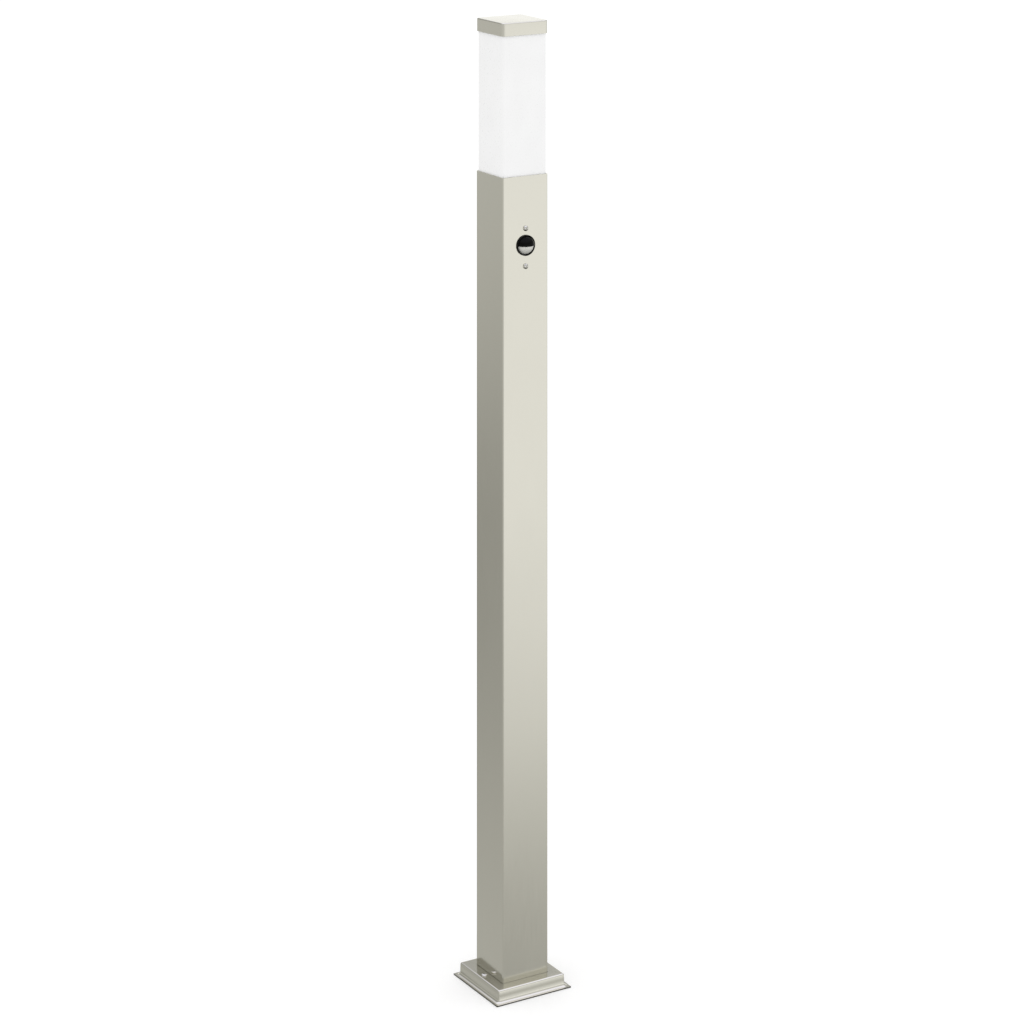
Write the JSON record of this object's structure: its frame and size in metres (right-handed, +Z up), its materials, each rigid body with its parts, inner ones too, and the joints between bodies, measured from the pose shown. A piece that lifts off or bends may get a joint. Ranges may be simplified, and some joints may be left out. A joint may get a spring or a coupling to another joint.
{
  "type": "bollard light",
  "caption": "Slim square bollard light: steel post with a pressed foot cover, a round presence sensor near the top, and an opal square lantern under a flat metal cap.",
  "frame": {"origin": "middle of the footprint, on the ground", "axes": "+Z up along the post, -Y the way the sensor looks, +X to the right of a person facing the sensor"},
  "size_m": [0.098, 0.098, 1.1],
  "materials": {
    "post_steel": "satin stainless sheet, fine upright grain",
    "cover_steel": "satin stainless, pressed",
    "cap_steel": "satin stainless, pressed",
    "screw_steel": "bright stainless",
    "plated_steel": "zinc plated",
    "tinned_copper": "tinned",
    "brass": "bright",
    "black_rubber": "matt",
    "terminal_plastic": "moulded",
    "lead_sheath": "smooth sheath",
    "core_insulation": "smooth, one colour a core",
    "earth_insulation": "green with a yellow stripe",
    "clip_plastic": "moulded",
    "sensor_case": "fine moulded grain",
    "sensor_gloss": "polished",
    "lens_plastic": "translucent, faceted",
    "board_green": "solder resist",
    "can_steel": "plated",
    "relay_blue": "moulded",
    "porcelain": "glazed",
    "bulb_glass": "fused black glass",
    "bulb_cap_metal": "nickel plated",
    "bulb_plastic": "moulded",
    "bulb_board_metal": "white solder resist",
    "bulb_opal": "opal",
    "opal_diffuser": "opal, satin outside",
    "plug_plastic": "moulded"
  },
  "bodies": {
    "post": {"base_plate": "plated_steel", "post_bracket": "plated_steel", "cable_grommet": "black_rubber", "post_fixing_screws": "plated_steel", "post_tube": "post_steel", "lock_screw": "screw_steel", "terminal_block": "terminal_plastic", "terminal_screws": "brass", "terminal_fixings": "plated_steel", "earth_tag": "tinned_copper", "earth_screw": "plated_steel", "earth_wire": "earth_insulation", "supply_lead": "lead_sheath", "supply_cores": "core_insulation", "lead_clips": "clip_plastic", "lamp_lead": "lead_sheath", "sensor_gasket": "black_rubber", "sensor_housing": "sensor_case", "sensor_back_cover": "sensor_case", "sensor_bezel": "sensor_gloss", "sensor_lens": "lens_plastic", "sensor_hood": "sensor_gloss", "sensor_board": "board_green", "pir_element": "can_steel", "sensor_relay": "relay_blue", "sensor_screws": "screw_steel", "holder_tray": "plated_steel", "head_seal": "black_rubber", "lamp_holder": "porcelain", "holder_sleeve": "brass", "holder_contact": "brass", "holder_screws": "plated_steel"},
    "cover": {"base_cover": "cover_steel", "cover_screws": "screw_steel"},
    "head": {"diffuser": "opal_diffuser", "cap_plug": "plug_plastic", "top_cap": "cap_steel"},
    "bulb_tip": {"bulb_contact": "brass"},
    "bulb": {"bulb_insulator": "bulb_glass", "bulb_screw_cap": "bulb_cap_metal", "bulb_body": "bulb_plastic", "bulb_board": "bulb_board_metal", "bulb_globe": "bulb_opal"}
  },
  "joints": [
    {"name": "cover_lift", "type": "slide", "parent": "post", "child": "cover", "axis": [0, 0, 1], "range_m": [0, 0.8]},
    {"name": "head_lift", "type": "slide", "parent": "post", "child": "head", "axis": [0, 0, 1], "range_m": [0, 0.12]},
    {"name": "bulb_rise", "type": "slide", "parent": "post", "child": "bulb_tip", "axis": [0, 0, 1], "range_m": [0, 0.0091]},
    {"name": "bulb_turn", "type": "hinge", "parent": "bulb_tip", "child": "bulb", "pos_m": [0, 0, 0.94], "axis": [0, 0, 1], "range_deg": [0, 900]}
  ],
  "couplings": [
    {"joint": "bulb_rise", "follows": "bulb_turn", "m_per_rad": 0.00057614}
  ]
}
